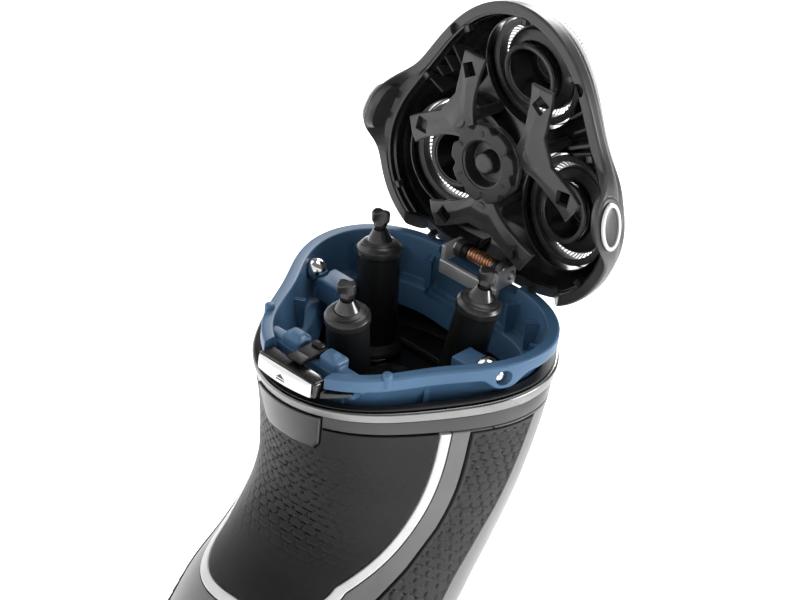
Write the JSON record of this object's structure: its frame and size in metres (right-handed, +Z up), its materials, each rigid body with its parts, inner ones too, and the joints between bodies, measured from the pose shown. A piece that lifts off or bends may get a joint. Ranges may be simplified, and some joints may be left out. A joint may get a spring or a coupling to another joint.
{
  "type": "electric shaver",
  "caption": "Upright rotary shaver with its head flipped open, blue hair chamber, splayed drive towers, scalloped lock wheel and a bent, grip-sided handle.",
  "frame": {"origin": "centre of the flat base face", "axes": "+Z up the handle, -Y the front with the power button, +X the right side"},
  "size_m": [0.0588, 0.0637, 0.1942],
  "materials": {
    "housing": "satin dark grey",
    "soft_black": "soft-touch black",
    "rubber": "matte textured",
    "silver": "satin silver",
    "dark_chrome": "dark brushed chrome",
    "black": "semi-gloss black",
    "blue": "satin blue",
    "steel": "brushed",
    "copper": "copper-coloured wire",
    "head_grey": "satin dark grey",
    "frame_grey": "satin grey",
    "white": "satin white",
    "board": "green solder mask",
    "cell": "blue-grey sleeve",
    "lens": "clear light window"
  },
  "bodies": {
    "handle": {"front_housing": "housing", "rear_housing": "housing", "front_panel": "soft_black", "silver_trim": "silver", "side_grip_left": "rubber", "side_grip_right": "rubber", "collar_ring": "dark_chrome", "collar_band": "black", "front_plate": "dark_chrome", "base_cap": "housing", "charging_inlet": "black", "inlet_pin_left": "steel", "inlet_pin_right": "steel", "battery": "cell", "circuit_board": "board", "motor": "steel", "charge_light": "lens", "gear_plate": "frame_grey", "drive_deck": "black", "pivot_cup_left": "blue", "pivot_cup_right": "blue", "drive_tower_front": "black", "drive_tower_left": "black", "drive_tower_right": "black", "tower_seal_front": "black", "tower_seal_left": "black", "tower_seal_right": "black"},
    "chamber": {"hair_chamber": "blue", "pivot_pin_left": "steel", "pivot_pin_right": "steel", "hinge_bracket": "steel", "hinge_pin": "steel", "hinge_spring": "copper"},
    "release": {"release_button": "black", "button_face": "white", "latch_catch": "black"},
    "head": {"head_cover": "head_grey", "badge_left": "silver", "badge_right": "silver", "retaining_frame": "frame_grey"},
    "wheel": {"lock_wheel": "frame_grey"},
    "pinion": {"motor_pinion": "white"},
    "button": {"power_button": "silver"},
    "gear_front": {"drive_gear_front": "white", "coupling_spring_front": "steel"},
    "coupling_front": {"coupling_front": "black"},
    "guard_front": {"guard_front": "steel"},
    "cutter_front": {"cutter_front": "frame_grey"},
    "gear_left": {"drive_gear_left": "white", "coupling_spring_left": "steel"},
    "coupling_left": {"coupling_left": "black"},
    "guard_left": {"guard_left": "steel"},
    "cutter_left": {"cutter_left": "frame_grey"},
    "gear_right": {"drive_gear_right": "white", "coupling_spring_right": "steel"},
    "coupling_right": {"coupling_right": "black"},
    "guard_right": {"guard_right": "steel"},
    "cutter_right": {"cutter_right": "frame_grey"}
  },
  "joints": [
    {"name": "chamber_tilt", "type": "hinge", "parent": "handle", "child": "chamber", "pos_m": [0, -0.01217, 0.13425], "axis": [1, 0, 0], "range_deg": [-2, 1.2], "stiffness_Nm_per_rad": 0.6},
    {"name": "head_close", "type": "hinge", "parent": "chamber", "child": "head", "pos_m": [0, 0.0041, 0.14879], "axis": [1, 0, 0], "range_deg": [0, 95], "stiffness_Nm_per_rad": 0.004, "springref_deg": -68.75},
    {"name": "release_press", "type": "slide", "parent": "chamber", "child": "release", "axis": [0, 0.848, 0.5299], "range_m": [0, 0.001], "stiffness_N_per_m": 300, "springref_m": -0.0008},
    {"name": "wheel_turn", "type": "hinge", "parent": "head", "child": "wheel", "pos_m": [0, -0.00931, 0.16519], "axis": [0, 0.891, 0.454], "range_deg": [0, 60]},
    {"name": "pinion_spin", "type": "hinge", "parent": "handle", "child": "pinion", "pos_m": [0, -0.00222, 0.11795], "axis": [0, -0.5299, 0.848], "continuous": true},
    {"name": "power_press", "type": "slide", "parent": "handle", "child": "button", "axis": [0, 1, 0], "range_m": [0, 0.0008], "stiffness_N_per_m": 600, "springref_m": -0.0008},
    {"name": "gear_spin_front", "type": "hinge", "parent": "handle", "child": "gear_front", "pos_m": [0, -0.01099, 0.11281], "axis": [0, -0.6494, 0.7604], "continuous": true},
    {"name": "coupling_slide_front", "type": "slide", "parent": "gear_front", "child": "coupling_front", "axis": [0, -0.6494, 0.7604], "range_m": [-0.001, 0], "stiffness_N_per_m": 200, "springref_m": 0.002},
    {"name": "guard_flex_front", "type": "hinge", "parent": "head", "child": "guard_front", "pos_m": [0, -0.00609, 0.18455], "axis": [1, 0, 0], "range_deg": [-3, 3], "stiffness_Nm_per_rad": 0.05},
    {"name": "cutter_spin_front", "type": "hinge", "parent": "guard_front", "child": "cutter_front", "pos_m": [0, -0.00609, 0.18455], "axis": [0, 0.8141, 0.5807], "continuous": true},
    {"name": "gear_spin_left", "type": "hinge", "parent": "handle", "child": "gear_left", "pos_m": [-0.0088, 0.00193, 0.12088], "axis": [-0.128, -0.4614, 0.8779], "continuous": true},
    {"name": "coupling_slide_left", "type": "slide", "parent": "gear_left", "child": "coupling_left", "axis": [-0.128, -0.4614, 0.8779], "range_m": [-0.001, 0], "stiffness_N_per_m": 200, "springref_m": 0.002},
    {"name": "guard_flex_left", "type": "hinge", "parent": "head", "child": "guard_left", "pos_m": [-0.0129, 0.00405, 0.16465], "axis": [-0.5, -0.3932, 0.7716], "range_deg": [-3, 3], "stiffness_Nm_per_rad": 0.05},
    {"name": "cutter_spin_left", "type": "hinge", "parent": "guard_left", "child": "cutter_left", "pos_m": [-0.0129, 0.00405, 0.16465], "axis": [-0.128, 0.9148, 0.3832], "continuous": true},
    {"name": "gear_spin_right", "type": "hinge", "parent": "handle", "child": "gear_right", "pos_m": [0.0088, 0.00193, 0.12088], "axis": [0.128, -0.4614, 0.8779], "continuous": true},
    {"name": "coupling_slide_right", "type": "slide", "parent": "gear_right", "child": "coupling_right", "axis": [0.128, -0.4614, 0.8779], "range_m": [-0.001, 0], "stiffness_N_per_m": 200, "springref_m": 0.002},
    {"name": "guard_flex_right", "type": "hinge", "parent": "head", "child": "guard_right", "pos_m": [0.0129, 0.00405, 0.16465], "axis": [-0.5, 0.3932, -0.7716], "range_deg": [-3, 3], "stiffness_Nm_per_rad": 0.05},
    {"name": "cutter_spin_right", "type": "hinge", "parent": "guard_right", "child": "cutter_right", "pos_m": [0.0129, 0.00405, 0.16465], "axis": [0.128, 0.9148, 0.3832], "continuous": true}
  ],
  "couplings": [
    {"joint": "gear_spin_front", "follows": "pinion_spin", "ratio": -0.33333},
    {"joint": "gear_spin_left", "follows": "pinion_spin", "ratio": -0.33333},
    {"joint": "gear_spin_right", "follows": "pinion_spin", "ratio": -0.33333}
  ]
}
